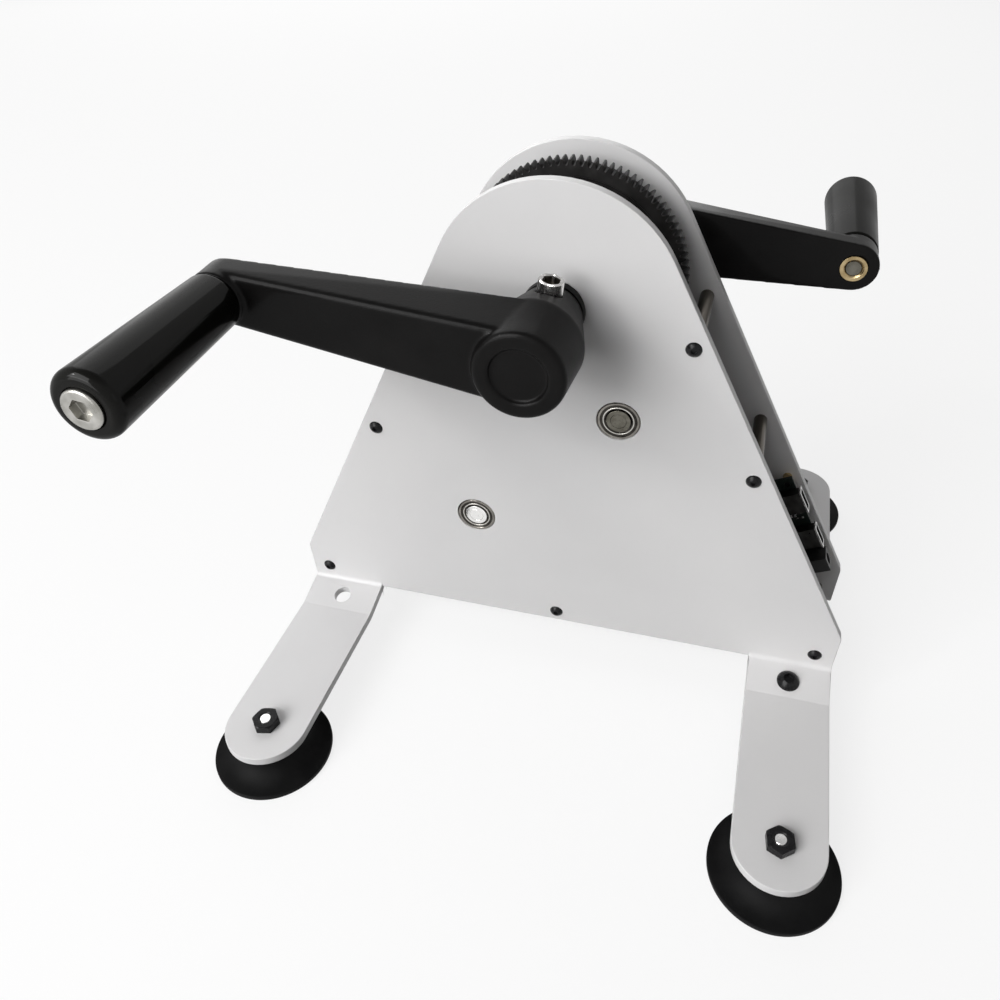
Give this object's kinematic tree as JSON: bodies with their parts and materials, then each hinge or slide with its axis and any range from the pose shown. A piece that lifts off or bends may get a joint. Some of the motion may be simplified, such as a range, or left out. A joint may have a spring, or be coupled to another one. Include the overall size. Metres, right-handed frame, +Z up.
{
  "type": "hand crank generator",
  "caption": "Table-top crank generator: two bent white plates on suction feet, two crank arms with turning grips, gear and belt drive, built-in generator and output sockets.",
  "frame": {"origin": "on the table, midway between the two plates, straight below the crank axis", "axes": "+Z up; +Y from the front plate to the rear plate, along the crank axis; +X to the right when seen from the front"},
  "size_m": [0.335, 0.3544, 0.294],
  "materials": {
    "plate_white": "satin",
    "post_metal": "satin",
    "black_screw": "satin",
    "foot_rubber": "satin",
    "bright_steel": "satin",
    "bearing_steel": "polished",
    "crank_black": "satin",
    "grip_black": "gloss",
    "gear_black": "satin",
    "belt_rubber": "matte",
    "insert_brass": "satin",
    "pulley_aluminium": "satin",
    "pinion_steel": "satin",
    "generator_grey": "satin",
    "magnet_grey": "matte",
    "brush_carbon": "matte",
    "copper": "satin",
    "core_steel": "matte",
    "board_green": "satin",
    "socket_metal": "satin",
    "socket_black": "matte",
    "capacitor_dark": "gloss"
  },
  "bodies": {
    "frame": {"front_plate": "plate_white", "rear_plate": "plate_white", "spacer_posts": "post_metal", "front_post_screws": "black_screw", "rear_post_screws": "black_screw", "front_left_foot": "foot_rubber", "front_right_foot": "foot_rubber", "rear_left_foot": "foot_rubber", "rear_right_foot": "foot_rubber", "foot_studs": "bright_steel", "foot_nuts": "black_screw", "leg_screw": "black_screw", "leg_screw_nut": "black_screw", "crank_bearing_outer_rings": "bearing_steel", "crank_bearing_balls": "bearing_steel", "crank_bearing_shields": "bearing_steel", "small_bearing_outer_rings": "bearing_steel", "small_bearing_balls": "bearing_steel", "small_bearing_shields": "bearing_steel", "drive_belt": "belt_rubber", "generator_case": "generator_grey", "generator_magnets": "magnet_grey", "brush_ring": "socket_black", "brushes": "brush_carbon", "generator_screws": "black_screw", "output_board": "board_green", "board_standoffs": "insert_brass", "board_screws": "black_screw", "upper_usb_shell": "socket_metal", "lower_usb_shell": "socket_metal", "usb_tongues": "socket_black", "power_jack": "socket_black", "power_jack_pin": "bright_steel", "choke_coil": "copper", "board_capacitors": "capacitor_dark"},
    "crank": {"crank_shaft": "bright_steel", "crank_bearing_inner_rings": "bearing_steel", "drive_gear": "gear_black", "crank_sleeves": "pinion_steel", "hub_rings": "crank_black", "front_crank_arm": "crank_black", "rear_crank_arm": "crank_black", "clamp_screws": "bright_steel", "front_grip_bolt": "bright_steel", "rear_grip_bolt": "bright_steel", "grip_inserts": "insert_brass"},
    "front_grip": {"front_grip": "grip_black"},
    "rear_grip": {"rear_grip": "grip_black"},
    "idler": {"idler_shaft": "bright_steel", "idler_bearing_inner_rings": "bearing_steel", "idler_pinion": "pinion_steel", "idler_pulley": "pulley_aluminium", "idler_sleeves": "pinion_steel"},
    "rotor": {"generator_shaft": "bright_steel", "generator_bearing_inner_rings": "bearing_steel", "generator_pulley": "pulley_aluminium", "armature_core": "core_steel", "armature_windings": "copper", "commutator": "copper"}
  },
  "joints": [
    {"name": "crank_spin", "type": "hinge", "parent": "frame", "child": "crank", "pos_m": [0, 0, 0.234], "axis": [0, 1, 0], "continuous": true},
    {"name": "front_grip_spin", "type": "hinge", "parent": "crank", "child": "front_grip", "pos_m": [-0.13461, -0.13, 0.2534], "axis": [0, 1, 0], "continuous": true},
    {"name": "rear_grip_spin", "type": "hinge", "parent": "crank", "child": "rear_grip", "pos_m": [0.13525, 0.13, 0.21978], "axis": [0, 1, 0], "continuous": true},
    {"name": "idler_spin", "type": "hinge", "parent": "frame", "child": "idler", "pos_m": [0.032, 0, 0.17627], "axis": [0, 1, 0], "continuous": true},
    {"name": "rotor_spin", "type": "hinge", "parent": "frame", "child": "rotor", "pos_m": [-0.046, 0, 0.1], "axis": [0, 1, 0], "continuous": true}
  ],
  "couplings": [
    {"joint": "idler_spin", "follows": "crank_spin", "ratio": -5.1111},
    {"joint": "rotor_spin", "follows": "crank_spin", "ratio": -10.222}
  ]
}
